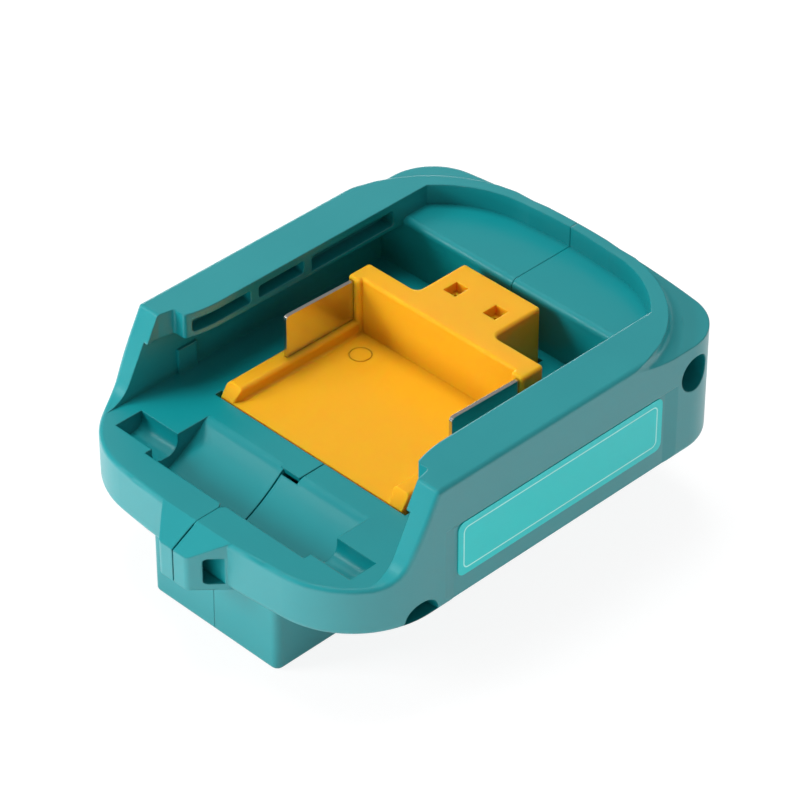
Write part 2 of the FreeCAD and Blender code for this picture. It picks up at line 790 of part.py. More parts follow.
    # Ribs that hold the circuit board's edge from below and above
    rib_front = block_inner_front + S.board_rib_margin
    for name, low, rear in (
            ("lower_rib", S.board_level - S.board_rib_height,
             cover_seat_y - S.usb_length - S.board_rib_margin),
            ("upper_rib", board_top, block_inner_rear - S.board_rib_margin)):
        pad(body, name, "XY", low, low + S.board_rib_height, rectangle(
            block_inner_x - S.board_rib_width, block_inner_x + 1, rib_front, rear))

    # Boss for the rear screw across the hollow under the ledge
    boss_radius = S.screw_tunnel_radius + S.screw_boss_wall
    pad(body, "rear_boss", "YZ", half_gap, cavity_half_width + 0.2,
        circle_points(S.rear_screw_y, S.rear_screw_level, boss_radius))

    # Socket mouth, cover seat and the cover's hinge hole in the block's rear wall
    mouth_half = S.usb_width / 2 + S.usb_mouth_fit
    pocket(body, "usb_mouth", "XZ", block_inner_rear - 0.5, S.block_rear_y + 1, rectangle(
        S.usb_centre_x - mouth_half, S.usb_centre_x + mouth_half,
        usb_bottom - S.usb_mouth_fit, S.board_level + S.usb_mouth_fit))
    pocket(body, "cover_seat", "XZ", cover_seat_y, S.block_rear_y + 1, rectangle(
        -1, S.cover_half_width + S.cover_fit,
        S.cover_hinge_level - S.cover_thickness / 2 - S.cover_fit, S.cover_top_level + S.cover_fit))
    hinge_radius = S.cover_pin_radius + S.cover_pin_fit
    hinge_end = S.cover_half_width + S.cover_pin_length + S.cover_fit
    pocket(body, "hinge_hole", "YZ", S.cover_half_width, hinge_end,
           circle_points(cover_axis_y, S.cover_hinge_level, hinge_radius))

    # Rear deck outside the D-shaped rim, whose outer arc leaves the side wall without a step
    rim_centre_x = S.case_half_width - S.rim_outer_radius
    rim_crown_radius = arc_radius_for(rim_centre_x, S.rim_outer_crown)
    rim_back_y = S.rim_outer_centre_y + S.rim_outer_radius
    deck_cutter = new_body("deck_cutter")
    pad(deck_cutter, "deck_space", "XY", S.deck_level, S.rail_top_level + 1, [
        (S.case_half_width, 0),
        (S.case_half_width, S.rim_outer_centre_y, S.rim_outer_radius),
        (rim_centre_x, rim_back_y, rim_crown_radius),
        (0, rim_back_y + S.rim_outer_crown),
        (-BIG, rim_back_y + S.rim_outer_crown),
        (-BIG, BIG),
        (BIG, BIG),
        (BIG, 0),
    ])
    round_edges(deck_cutter, "rim_cove", S.rim_cove_radius, lambda p: (
        near(p.z, S.deck_level) and (near(p.x, S.case_half_width) or (
            p.x < S.case_half_width.number and p.y < rim_back_y.number + 1))))
    return cut("half_casing", body, deck_cutter)


def circle_points(y, z, radius):
    """Circle as four quarter arcs, which keeps each arc's centre on one side."""
    return [
        (y - radius, z, radius),
        (y, z - radius, radius),
        (y + radius, z, radius),
        (y, z + radius, radius),
    ]


def make_housings(shell):
    # Right half: tunnels and holes for the screws, label panel, slot for the tongue, button hole
    panel_body = new_body("label_panel_form")
    panel_x = S.case_half_width - S.panel_depth
    pad(panel_body, "label_panel", "XY", 0, S.panel_top, [
        (panel_x, S.panel_start_y),
        (S.case_half_width, S.panel_start_y - S.panel_slope_length),
        (S.case_half_width + 1, S.panel_start_y - S.panel_slope_length),
        (S.case_half_width + 1, S.panel_end_y + S.panel_slope_length),
        (S.case_half_width, S.panel_end_y + S.panel_slope_length),
        (panel_x, S.panel_end_y),
    ])
    rear_tunnel = rod("rear_tunnel", "X", S.screw_tunnel_radius, S.screw_seat_x, S.case_half_width + 1,
                      S.rear_screw_y, S.rear_screw_level)
    front_round = rod("front_tunnel_round", "X", S.screw_tunnel_radius, S.screw_seat_x, S.case_half_width + 1,
                      S.front_screw_y, S.front_tunnel_floor)
    beyond = S.screw_tunnel_radius + 1
    below_floor = box("front_tunnel_lower_half", S.screw_seat_x - 1, S.case_half_width + 2,
                      S.front_screw_y - beyond, S.front_screw_y + beyond,
                      S.front_tunnel_floor - beyond, S.front_tunnel_floor)
    removed = [panel_body, rear_tunnel, cut("front_tunnel", front_round, below_floor)]
    for name, y, level in SCREWS:
        removed.append(rod(name + "_clear_hole", "X", screw_hole_radius, -1, S.screw_seat_x + 1, y, level))
    removed.append(box("tongue_cut", -1, S.tongue_width + S.tongue_side_gap,
                       S.latch_rear_y - S.tongue_slot, opening_front_y + 1,
                       S.tongue_slot_floor, S.plate_level + 1))
    wall_start = block_inner_rear - 0.5
    removed.append(box("button_hole", S.button_x - S.button_width / 2 - S.button_fit,
                       S.button_x + S.button_width / 2 + S.button_fit, wall_start, S.block_rear_y + 1,
                       S.button_level - S.button_height / 2 - S.button_fit,
                       S.button_level + S.button_height / 2 + S.button_fit))
    right = cut("housing_right", shell, fuse("right_openings", removed))

    # Left half: mirror image, tongue, blind pilot holes for the screws, lens hole
    mirrored = doc.addObject("Part::Mirroring", "mirrored_shell")
    mirrored.Source = shell
    mirrored.Normal = Vector(1, 0, 0)
    tongue = box("tongue", -1, S.tongue_width, S.latch_rear_y, opening_front_y,
                 S.plate_level - S.tongue_thickness, S.plate_level)
    pilots = []
    screw_tip = S.screw_seat_x - S.screw_length
    for name, y, level in SCREWS:
        pilots.append(rod(name + "_pilot", "X", screw_hole_radius, screw_tip - 1, 1, y, level))
    pilots.append(rod("lens_hole", "Y", S.lens_radius + S.lens_fit, wall_start, S.block_rear_y + 1,
                      S.lens_x, S.button_level))
    left = cut("housing_left", fuse("left_with_tongue", [mirrored, tongue]), fuse("left_openings", pilots))
    return [left, right]


# Terminal holder and blades

def make_terminal_holder():
    body = new_body("terminal_holder")
    floor_bottom = S.plate_level - S.holder_floor_thickness
    pad(body, "tray", "XY", floor_bottom, S.plate_level, rectangle(
        -S.holder_half_width, S.holder_half_width, S.holder_front_y, S.wall_rear_y))
    wall_base = S.plate_level - 1
    wall_plan = [
        (wall_half_width, S.tower_front_y + S.holder_corner_round),
        (wall_half_width, S.wall_rear_y - S.holder_corner_round, S.holder_corner_round),
        (wall_half_width - S.holder_corner_round, S.wall_rear_y),
        (S.stem_half_width + S.stem_foot_round, S.wall_rear_y, -S.stem_foot_round),
        (S.stem_half_width, S.wall_rear_y + S.stem_foot_round),
        (S.stem_half_width, S.stem_rear_y - S.holder_corner_round, S.holder_corner_round),
        (S.stem_half_width - S.holder_corner_round, S.stem_rear_y),
    ]
    tower_plan = [
        (tower_inner_x, S.wall_front_y),
        (tower_inner_x, S.tower_front_y + S.holder_corner_round, S.holder_corner_round),
        (tower_inner_x + S.holder_corner_round, S.tower_front_y),
        (wall_half_width - S.holder_corner_round, S.tower_front_y, S.holder_corner_round),
    ]
    right_side = tower_plan + wall_plan
    pad(body, "wall", "XY", floor_bottom, S.holder_top_level, right_side + mirrored_outline(right_side))
    round_edges(body, "tray_corners", S.holder_corner_round, lambda p: (
        near(abs(p.x), S.holder_half_width) and near(p.y, S.holder_front_y)))
    round_edges(body, "wall_top_edge", S.holder_edge_round, lambda p: near(p.z, S.holder_top_level))
    rail_top = S.plate_level + S.side_rail_height
    right_rail = [
        (S.holder_half_width, wall_base),
        (S.holder_half_width, rail_top - S.holder_corner_round, S.holder_corner_round),
        (S.holder_half_width - S.holder_corner_round, rail_top),
        (S.side_rail_inner_x + S.holder_corner_round, rail_top, S.holder_corner_round),
        (S.side_rail_inner_x, rail_top - S.holder_corner_round),
        (S.side_rail_inner_x, S.plate_level + S.side_rail_foot_round, -S.side_rail_foot_round),
        (S.side_rail_inner_x - S.side_rail_foot_round, S.plate_level),
        (S.side_rail_inner_x - S.side_rail_foot_round, wall_base),
    ]
    pad(body, "right_side_rail", "XZ", S.holder_front_y, S.wall_front_y, right_rail)
    pad(body, "left_side_rail", "XZ", S.holder_front_y, S.wall_front_y, mirrored_outline(right_rail))
    pocket(body, "rail_nose", "YZ", -BIG, BIG, [
        (S.holder_front_y, S.plate_level),
        (S.holder_front_y + S.side_rail_nose_slope, rail_top),
        (S.holder_front_y + S.side_rail_nose_slope, rail_top + 1),
        (S.holder_front_y - 1, rail_top + 1),
        (S.holder_front_y - 1, S.plate_level),
    ])
    rail_foot_x = S.side_rail_inner_x - S.side_rail_foot_round
    taper = [
        (rail_foot_x - 1, S.holder_front_y - 1),
        (S.side_rail_inner_x + S.side_rail_taper_width, S.holder_front_y - 1),
        (S.side_rail_inner_x + S.side_rail_taper_width, S.holder_front_y),
        (rail_foot_x, S.holder_front_y + S.side_rail_taper_length),
        (rail_foot_x - 1, S.holder_front_y + S.side_rail_taper_length),
    ]
    pocket(body, "right_rail_taper", "XY", S.plate_level, rail_top + 1, taper)
    pocket(body, "left_rail_taper", "XY", S.plate_level, rail_top + 1, mirrored_outline(taper))
    flange_top = plate_underside
    pad(body, "flange", "XY", flange_top - S.holder_flange_thickness, flange_top, rectangle(
        -(opening_half_width + S.holder_flange), opening_half_width + S.holder_flange,
        S.holder_front_y - S.holder_fit - S.holder_flange + 0.4, S.stem_rear_y + S.holder_fit))
    for name, x in (("left_pin", -S.pin_hole_x), ("right_pin", S.pin_hole_x)):
        for step, width, length, depth in (
                ("_mouth", S.pin_hole_width, S.pin_hole_length, S.pin_hole_step),
                ("_core", S.pin_core_width, S.pin_core_width, S.pin_hole_depth)):
            pocket(body, name + step, "XY", S.holder_top_level - depth, S.holder_top_level + 1, rectangle(
                x - width / 2, x + width / 2, S.pin_hole_y - length / 2, S.pin_hole_y + length / 2))
    for name, side in (("left", -1), ("right", 1)):
        low = side * S.blade_centre_x - S.blade_thickness / 2 - S.blade_fit
        high = side * S.blade_centre_x + S.blade_thickness / 2 + S.blade_fit
        pocket(body, name + "_blade_slot", "YZ", low, high, blade_outline(S.blade_fit))
    return body


def mirrored_outline(points):
    """The outline's other half, mirrored in X and run the other way; each radius stays with its own side."""
    mirrored = []
    for index in range(len(points) - 1, -1, -1):
        u, v = points[index][:2]
        before = points[index - 1]
        mirrored.append((-as_size(u), v) + tuple(before[2:]))
    return mirrored


def blade_outline(margin):
    """Blade with its solder tab, in Y and Z, grown by margin."""
    tab_low = S.blade_tab_start - margin
    tab_high = S.blade_tab_start + S.blade_tab_length + margin
    bottom = blade_seat_level - margin
    return [
        (S.blade_front_y - margin, bottom),
        (tab_low, bottom),
        (tab_low, S.blade_tab_end_level - margin),
        (tab_high, S.blade_tab_end_level - margin),
        (tab_high, bottom),
        (blade_rear_y + margin, bottom),
        (blade_rear_y + margin, S.blade_rear_top + margin),
        (S.blade_front_y - margin + S.blade_corner_round, S.blade_front_top + margin, S.blade_corner_round),
        (S.blade_front_y - margin, S.blade_front_top + margin - S.blade_corner_round),
    ]


def make_blades():
    blades = []
    for name, side in (("blade_left", -1), ("blade_right", 1)):
        body = new_body(name)
        low = side * S.blade_centre_x - S.blade_thickness / 2
        high = side * S.blade_centre_x + S.blade_thickness / 2
        pad(body, name + "_sheet", "YZ", low, high, blade_outline(0))
        blades.append(body)
    return blades


# Electronics

def make_board():
    half = block_inner_x - S.board_fit
    return box("circuit_board", -half, half, block_inner_front + S.board_fit,
               block_inner_rear - S.board_fit, S.board_level, board_top)


def make_usb_sockets():
    nodes = []
    mouth_y = cover_seat_y
    back_y = mouth_y - S.usb_length
    for side_name, side in (("left", -1), ("right", 1)):
        centre = side * S.usb_centre_x
        x_low = centre - S.usb_width / 2
        x_high = centre + S.usb_width / 2
        outer = box("usb_can_" + side_name, x_low, x_high, back_y, mouth_y, usb_bottom, S.board_level)
        inner = box("usb_can_inside_" + side_name, x_low + S.usb_sheet, x_high - S.usb_sheet,
                    back_y - 1, mouth_y + 1, usb_bottom + S.usb_sheet, S.board_level - S.usb_sheet)
        nodes.append(cut("usb_shell_" + side_name, outer, inner))

        back = box("usb_back_" + side_name, x_low + S.usb_sheet, x_high - S.usb_sheet,
                   back_y, back_y + S.usb_back_thickness, usb_bottom + S.usb_sheet,
                   S.board_level - S.usb_sheet)
        tongue_top = S.board_level - S.usb_sheet - S.usb_height / 5
        tongue = box("usb_tongue_plate_" + side_name, centre - S.usb_tongue_width / 2,
                     centre + S.usb_tongue_width / 2, back_y, mouth_y - S.usb_tongue_setback,
                     tongue_top - S.usb_tongue_thickness, tongue_top)
        nodes.append(fuse("usb_insulator_" + side_name, [back, tongue]))

        tongue_bottom = tongue_top - S.usb_tongue_thickness
        for index in range(4):
            x = centre + (index - 1.5) * S.usb_contact_pitch
            nodes.append(box("usb_contact_%s_%d" % (side_name, index + 1),
                             x - S.usb_contact_width / 2, x + S.usb_contact_width / 2,
                             back_y + S.usb_back_thickness, mouth_y - S.usb_tongue_setback - 1,
                             tongue_bottom - S.usb_contact_thickness, tongue_bottom))
    return nodes


def make_inductor():
    half = S.inductor_width / 2
    low = board_top
    high = board_top + S.inductor_height
    foot = box("inductor_foot", S.inductor_x - half, S.inductor_x + half,
               S.part_row_y - half, S.part_row_y + half, low, low + S.inductor_plate)
    cap = box("inductor_cap", S.inductor_x - half, S.inductor_x + half,
              S.part_row_y - half, S.part_row_y + half, high - S.inductor_plate, high)
    post = rod("inductor_post", "Z", S.inductor_post_radius, low, high, S.inductor_x, S.part_row_y)
    return fuse("inductor", [foot, cap, post])


def make_capacitors():
    nodes = []
    for name, x in (("input_capacitor", S.input_capacitor_x), ("output_capacitor", S.output_capacitor_x)):
        base = box(name + "_base", x - S.capacitor_radius, x + S.capacitor_radius,
                   S.part_row_y - S.capacitor_radius, S.part_row_y + S.capacitor_radius,
                   board_top, board_top + S.capacitor_base)
        can = rod(name + "_can", "Z", S.capacitor_radius - 0.1, board_top, board_top + S.capacitor_height,
                  x, S.part_row_y)
        nodes.append(fuse(name, [base, can]))
    return nodes


def make_chip():
    pieces = [box("chip_case", S.chip_x - S.chip_width / 2, S.chip_x + S.chip_width / 2,
                  S.part_row_y - S.chip_length / 2, S.part_row_y + S.chip_length / 2,
                  board_top, board_top + S.chip_height)]
    for side in (-1, 1):
        for index in range(4):
            y = S.part_row_y + (index - 1.5) * S.chip_pin_pitch
            edge = S.chip_x + side * S.chip_width / 2
            low = edge - S.chip_pin_reach if side < 0 else edge - 0.1
            high = edge + 0.1 if side < 0 else edge + S.chip_pin_reach
            pieces.append(box("chip_pin_%s_%d" % ("left" if side < 0 else "right", index + 1),
                              low, high, y - S.chip_pin_width / 2, y + S.chip_pin_width / 2,
                              board_top, board_top + S.chip_pin_height))
    return fuse("regulator_chip", pieces)


# Button with its switch, indicator with its lens

def make_button():
    half_width = S.button_width / 2
    half_height = S.button_height / 2
    flange_front = block_inner_rear - S.button_flange_thickness
    cap = box("button_cap", S.button_x - half_width, S.button_x + half_width, flange_front,
              S.block_rear_y + S.button_proud, S.button_level - half_height, S.button_level + half_height)
    flange = box("button_collar", S.button_x - half_width - S.button_flange,
                 S.button_x + half_width + S.button_flange, flange_front, block_inner_rear,
                 S.button_level - half_height, S.button_level + half_height + S.button_flange)
    return fuse("power_button", [cap, flange])


def make_switch():
    flange_front = block_inner_rear - S.button_flange_thickness
    tip = flange_front - S.plunger_gap
    front = tip - S.plunger_length
    case = box("switch_case", S.button_x - S.switch_width / 2, S.button_x + S.switch_width / 2,
               front - S.switch_depth, front, board_top, board_top + S.switch_height)
    plunger = rod("switch_plunger", "Y", S.plunger_radius, front - 1, tip, S.button_x, S.button_level)
    return fuse("tact_switch", [case, plunger])


def make_indicator():
    collar_front = block_inner_rear - S.lens_collar_thickness
    pin = rod("lens_pin", "Y", S.lens_radius, collar_front, S.block_rear_y + S.lens_proud,
              S.lens_x, S.button_level)
    collar = rod("lens_collar_ring", "Y", S.lens_radius + S.lens_collar, collar_front, block_inner_rear,
                 S.lens_x, S.button_level)
    lens = fuse("indicator_lens", [pin, collar])
    led_rear = collar_front - S.led_gap
    led = box("indicator_led", S.lens_x - S.led_width / 2, S.lens_x + S.led_width / 2,
              led_rear - S.led_depth, led_rear, board_top, S.button_level + S.led_width / 2)
    return [lens, led]


# Port cover

def make_port_cover():
    body = new_body("port_cover")
    low_y = S.block_rear_y - S.cover_thickness
    radius = S.cover_thickness / 2
    pad(body, "flap", "YZ", -S.cover_half_width, S.cover_half_width, [
        (low_y, S.cover_hinge_level, radius),
        (cover_axis_y, S.cover_hinge_level - radius, radius),
        (S.block_rear_y, S.cover_hinge_level),
        (S.block_rear_y, S.cover_top_level - S.cover_grip_height),
        (S.block_rear_y + S.cover_grip_proud, S.cover_top_level - S.cover_grip_height + S.cover_grip_proud),
        (S.block_rear_y + S.cover_grip_proud, S.cover_top_level),
        (low_y, S.cover_top_level),
    ])
    reach = S.cover_half_width + S.cover_pin_length
    pad(body, "hinge_pin", "YZ", -reach, reach,
        circle_points(cover_axis_y, S.cover_hinge_level, S.cover_pin_radius))
    return body


# Label, screws and leads

def make_label():
    body = new_body("rating_label")
    face = S.case_half_width - S.panel_depth
    pad(body, "label_sheet", "YZ", face, face + S.label_thickness, rounded_rectangle(
        S.label_start_y, S.label_end_y, S.label_bottom, S.label_top, S.label_corner_radius))
    return body


def make_screws():
    screws = []
    for name, y, level in SCREWS:
        head_end = S.screw_seat_x + S.screw_head_height
        shank = rod(name + "_shank", "X", S.screw_radius, S.screw_seat_x - S.screw_length,
                    S.screw_seat_x + 0.5, y, level)
        head = rod(name + "_head", "X", S.screw_head_radius, S.screw_seat_x, head_end, y, level)
        half_long = S.screw_cross_length / 2
        half_wide = S.screw_cross_width / 2
        floor = head_end - S.screw_cross_depth
        across = box(name + "_cross_across", floor, head_end + 1, y - half_long, y + half_long,
                     level - half_wide, level + half_wide)
        upright = box(name + "_cross_upright", floor, head_end + 1, y - half_wide, y + half_wide,
                      level - half_long, level + half_long)
        screws.append(cut(name + "_screw", fuse(name + "_screw_blank", [shank, head]),
                          fuse(name + "_cross", [across, upright])))
    return screws


def lead_path(side):
    """Centre line of one supply lead: from the blade's tab, forward, in to the block, down to the board."""
    points = [
        Vector(side * S.blade_centre_x.number, S.blade_tab_start.number, S.lead_level.number),
        Vector(side * S.blade_centre_x.number, S.lead_turn_y.number, S.lead_level.number),
        Vector(side * S.lead_drop_x.number, S.lead_drop_y.number, S.lead_level.number),
        Vector(side * S.lead_drop_x.number, S.lead_drop_y.number, board_top.number),
    ]
    edges = []
    start = points[0]
    for before, corner, after in zip(points, points[1:], points[2:]):
        arriving = (corner - before).normalize()
        leaving = (after - corner).normalize()
        turn = arriving.getAngle(leaving)
        trim = S.lead_bend_radius.number * math.tan(turn / 2)
        first = corner - arriving * trim
        last = corner + leaving * trim
        inward = (leaving - arriving).normalize()
        middle_gap = S.lead_bend_radius.number * (1 / math.cos(turn / 2) - 1)
        edges.append(Part.LineSegment(start, first).toShape())
        edges.append(Part.Arc(first, corner + inward * middle_gap, last).toShape())
        start = last
    edges.append(Part.LineSegment(start, points[-1]).toShape())
    return Part.Wire(edges)


def make_leads():
    leads = []
    for name, side in (("black_lead", -1), ("red_lead", 1)):
        path = lead_path(side)
        first = path.Edges[0]
        direction = first.tangentAt(first.FirstParameter)
        section = Part.Wire([Part.Circle(first.Vertexes[0].Point, direction, S.lead_radius.number).toShape()])
        lead = doc.addObject("Part::Feature", name)
        lead.Label = name
        lead.Shape = path.makePipeShell([section], True, False)
        leads.append(lead)
    return leads


# Build everything

shell = make_half_shell()
nodes = make_housings(shell)
nodes.append(make_terminal_holder())
nodes.extend(make_blades())
nodes.append(make_board())
nodes.extend(make_usb_sockets())
nodes.append(make_inductor())
nodes.extend(make_capacitors())
nodes.append(make_chip())
nodes.append(make_button())
nodes.append(make_switch())
nodes.extend(make_indicator())
nodes.append(make_port_cover())
nodes.append(make_label())
nodes.extend(make_screws())
nodes.extend(make_leads())
doc.recompute()

faults = []
for item in doc.Objects:
    if "Invalid" in item.State or "Error" in item.State:
        faults.append("%s: %s" % (item.Name, item.State))
    if item.TypeId == "PartDesign::Pocket" and item.BaseFeature is not None:
        if item.BaseFeature.Shape.Volume - item.Shape.Volume < 0.001:
            faults.append("%s removes nothing" % item.Name)
for node in nodes:
    if node.Shape.isNull() or not node.Shape.isValid():
        faults.append("%s has no valid shape" % node.Label)
if faults:
    raise RuntimeError("; ".join(faults))

os.makedirs("parts", exist_ok=True)
for node in nodes:
    node.Shape.exportStep("parts/%s.step" % node.Label)
    print("%-22s solids %d volume %.1f" % (node.Label, len(node.Shape.Solids), node.Shape.Volume))
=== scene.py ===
"""Look of the USB battery adapter: teal casing, amber terminal holder, bright blades and a plain label.

Lengths are in metres, and a size thought of in millimetres is written with MM. +Z is up with the battery side
uppermost, +Y runs to the rounded rim and +X to the side with the label.
"""

import json
import math

import bpy
import numpy as np
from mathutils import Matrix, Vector


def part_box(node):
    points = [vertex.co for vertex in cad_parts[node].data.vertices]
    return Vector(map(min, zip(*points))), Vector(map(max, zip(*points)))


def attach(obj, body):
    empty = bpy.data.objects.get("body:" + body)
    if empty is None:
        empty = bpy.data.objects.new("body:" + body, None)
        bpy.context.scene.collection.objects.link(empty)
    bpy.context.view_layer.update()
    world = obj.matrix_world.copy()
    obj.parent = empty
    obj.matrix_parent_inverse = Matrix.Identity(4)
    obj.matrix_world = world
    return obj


MM = 0.001

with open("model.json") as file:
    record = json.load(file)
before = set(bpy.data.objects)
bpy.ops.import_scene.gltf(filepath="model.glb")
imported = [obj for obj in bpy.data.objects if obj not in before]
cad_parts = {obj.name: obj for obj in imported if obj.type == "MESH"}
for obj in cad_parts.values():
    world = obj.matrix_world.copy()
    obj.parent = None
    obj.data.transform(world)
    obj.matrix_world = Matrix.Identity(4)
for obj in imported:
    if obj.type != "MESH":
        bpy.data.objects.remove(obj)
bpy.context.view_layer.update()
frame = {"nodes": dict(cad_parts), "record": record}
nodes = frame["nodes"]


# Colours

def rgb(hex_code):
    """sRGB hex code to linear red, green, blue and alpha."""
    channels = [int(hex_code[i:i + 2], 16) / 255 for i in (1, 3, 5)]
    linear = [c / 12.92 if c <= 0.04045 else ((c + 0.055) / 1.055) ** 2.4 for c in channels]
    return (*linear, 1.0)


TEAL = "#0A898E"
TEAL_DEEP = "#088086"
AMBER = "#E4A922"
AMBER_DEEP = "#E1A41A"
STEEL = "#CFCBC4"
LABEL_FILM = "#0CC9C9"
LABEL_LINE = "#A9ECE6"
BUTTON_BLACK = "#1C1D1E"
LENS_MILK = "#E4E9E6"
MASK_GREEN = "#0E5B32"
INSULATOR_WHITE = "#E9E6DC"
CONTACT_GOLD = "#D9A94A"
OXIDE_BLACK = "#3A3A3C"
FERRITE_GREY = "#35363A"
CAN_ALUMINIUM = "#D3D5D8"
LEAD_RED = "#B01116"
LEAD_BLACK = "#151515"
WHITE = (1.0, 1.0, 1.0, 1.0)


# Materials

# Nearly all of a noise pattern lies between these two values
NOISE_LOW = 0.3
NOISE_HIGH = 0.7

# Numbers of the Mix node's sockets, several of which share a name
VECTOR_A = 4
VECTOR_B = 5
VECTOR_RESULT = 1
COLOUR_A = 6
COLOUR_B = 7
COLOUR_RESULT = 2


def add(tree, kind, inputs=None, **settings):
    """Adds a shader node with its settings; each of its inputs is given a value or a link (node, output)."""
    node = tree.nodes.new(kind)
    for key, value in settings.items():
        setattr(node, key, value)
    for socket, value in (inputs or {}).items():
        if isinstance(value, tuple) and isinstance(value[0], bpy.types.Node):
            source, output = value
            tree.links.new(source.outputs[output], node.inputs[socket])
        else:
            node.inputs[socket].default_value = value
    return node


def new_material(name):
    """Material with an empty node tree, and that tree."""
    material = bpy.data.materials.new(name)
    material.use_nodes = True
    tree = material.node_tree
    tree.nodes.clear()
    return material, tree


# Soft edges look for walls within this reach. A point that sees little open sky there is in an inner corner
EDGE_REACH = 0.8 * MM
SKY_IN_CORNER = 0.62
SKY_IN_THE_OPEN = 0.86


def soft_edges(tree, radius):
    """Normal that rounds outer edges by radius and leaves inner corners crisp, as a mould does."""
    rounded = add(tree, "ShaderNodeBevel", {"Radius": radius}, samples=6)
    flat = add(tree, "ShaderNodeNewGeometry")
    sky = add(tree, "ShaderNodeAmbientOcclusion", {"Distance": EDGE_REACH}, samples=6, only_local=True)
    outer = add(tree, "ShaderNodeMapRange", {
        "Value": (sky, "AO"), "From Min": SKY_IN_CORNER, "From Max": SKY_IN_THE_OPEN,
        "To Min": 0.0, "To Max": 1.0})
    return add(tree, "ShaderNodeMix", {
        "Factor": (outer, "Result"), VECTOR_A: (flat, "Normal"), VECTOR_B: (rounded, "Normal")},
        data_type="VECTOR")


MOULD_EDGE = 0.4 * MM
MOULD_CLOUD = 18.0 * MM
SMOOTHER_BY = 0.03
ROUGHER_BY = 0.04
PLASTIC_IOR = 1.5

# Light under a pale skin reaches this far in red, and less far in green and blue
GLOW_REACH = 3.0 * MM
GLOW_SHARES = (1.0, 0.4, 0.1)


def moulded_plastic(name, light, dark, roughness, grain, grain_depth, specular, glow=0.0):
    """Injection-moulded plastic from an eroded tool: even colour, fine grain and softly rounded edges.

    Colour and gloss drift a little over some 18 mm, as where the melt cooled unevenly. Glow is the share of
    light that travels under the skin and comes out warmer, as in pale nylon.
    """
    material, tree = new_material(name)
    place = add(tree, "ShaderNodeTexCoord")
    cloud = add(tree, "ShaderNodeTexNoise", {
        "Vector": (place, "Object"), "Scale": 1 / MOULD_CLOUD, "Detail": 3.0, "Roughness": 0.55})
    colour = add(tree, "ShaderNodeMix", data_type="RGBA", inputs={
        "Factor": (cloud, "Fac"), COLOUR_A: rgb(dark), COLOUR_B: rgb(light)})
    grains = add(tree, "ShaderNodeTexNoise", {
        "Vector": (place, "Object"), "Scale": 1 / grain, "Detail": 2.0, "Roughness": 0.6})
    gloss = add(tree, "ShaderNodeMapRange", {
        "Value": (cloud, "Fac"), "From Min": NOISE_LOW, "From Max": NOISE_HIGH,
        "To Min": roughness - SMOOTHER_BY, "To Max": roughness + ROUGHER_BY})
    edge = soft_edges(tree, MOULD_EDGE)
    bump = add(tree, "ShaderNodeBump", {
        "Height": (grains, "Fac"), "Normal": (edge, VECTOR_RESULT), "Strength": 1.0, "Distance": grain_depth})
    skin = add(tree, "ShaderNodeBsdfPrincipled", {
        "Base Color": (colour, COLOUR_RESULT), "Roughness": (gloss, "Result"), "Normal": (bump, "Normal"),
        "IOR": PLASTIC_IOR, "Specular IOR Level": specular, "Subsurface Weight": glow,
        "Subsurface Scale": GLOW_REACH, "Subsurface Radius": GLOW_SHARES})
    add(tree, "ShaderNodeOutputMaterial", {"Surface": (skin, "BSDF")})
    return material


SMALL_PART_EDGE = 0.08 * MM
SMALL_PART_GRAIN = 0.3 * MM
SMALL_PART_GRAIN_DEPTH = 0.002 * MM


def plain(name, colour, roughness, metallic=0.0, edge=SMALL_PART_EDGE, grain=SMALL_PART_GRAIN):
    """Small hard part: even colour with a faint grain that breaks up its gloss."""
    material, tree = new_material(name)
    place = add(tree, "ShaderNodeTexCoord")
    grains = add(tree, "ShaderNodeTexNoise", {"Vector": (place, "Object"), "Scale": 1 / grain, "Detail": 2.0})
    rounded = add(tree, "ShaderNodeBevel", {"Radius": edge}, samples=4)
    bump = add(tree, "ShaderNodeBump", {
        "Height": (grains, "Fac"), "Normal": (rounded, "Normal"), "Strength": 1.0,
        "Distance": SMALL_PART_GRAIN_DEPTH})
    skin = add(tree, "ShaderNodeBsdfPrincipled", {
        "Base Color": rgb(colour), "Roughness": roughness, "Metallic": metallic, "Normal": (bump, "Normal")})
    add(tree, "ShaderNodeOutputMaterial", {"Surface": (skin, "BSDF")})
    return material


# Rolling marks run along Y and are some 30 times as long as wide. Real ones are too fine to show, so these
# are drawn coarser
STREAK_WIDTH = 0.12 * MM
STREAK_SQUEEZE = (1.0, 0.03, 1.0)
STREAK_DEPTH = 0.002 * MM
STREAK_STRENGTH = 0.03
SHEET_EDGE = 0.12 * MM
SHEET_ROUGHNESS_LOW = 0.2
SHEET_ROUGHNESS_HIGH = 0.27


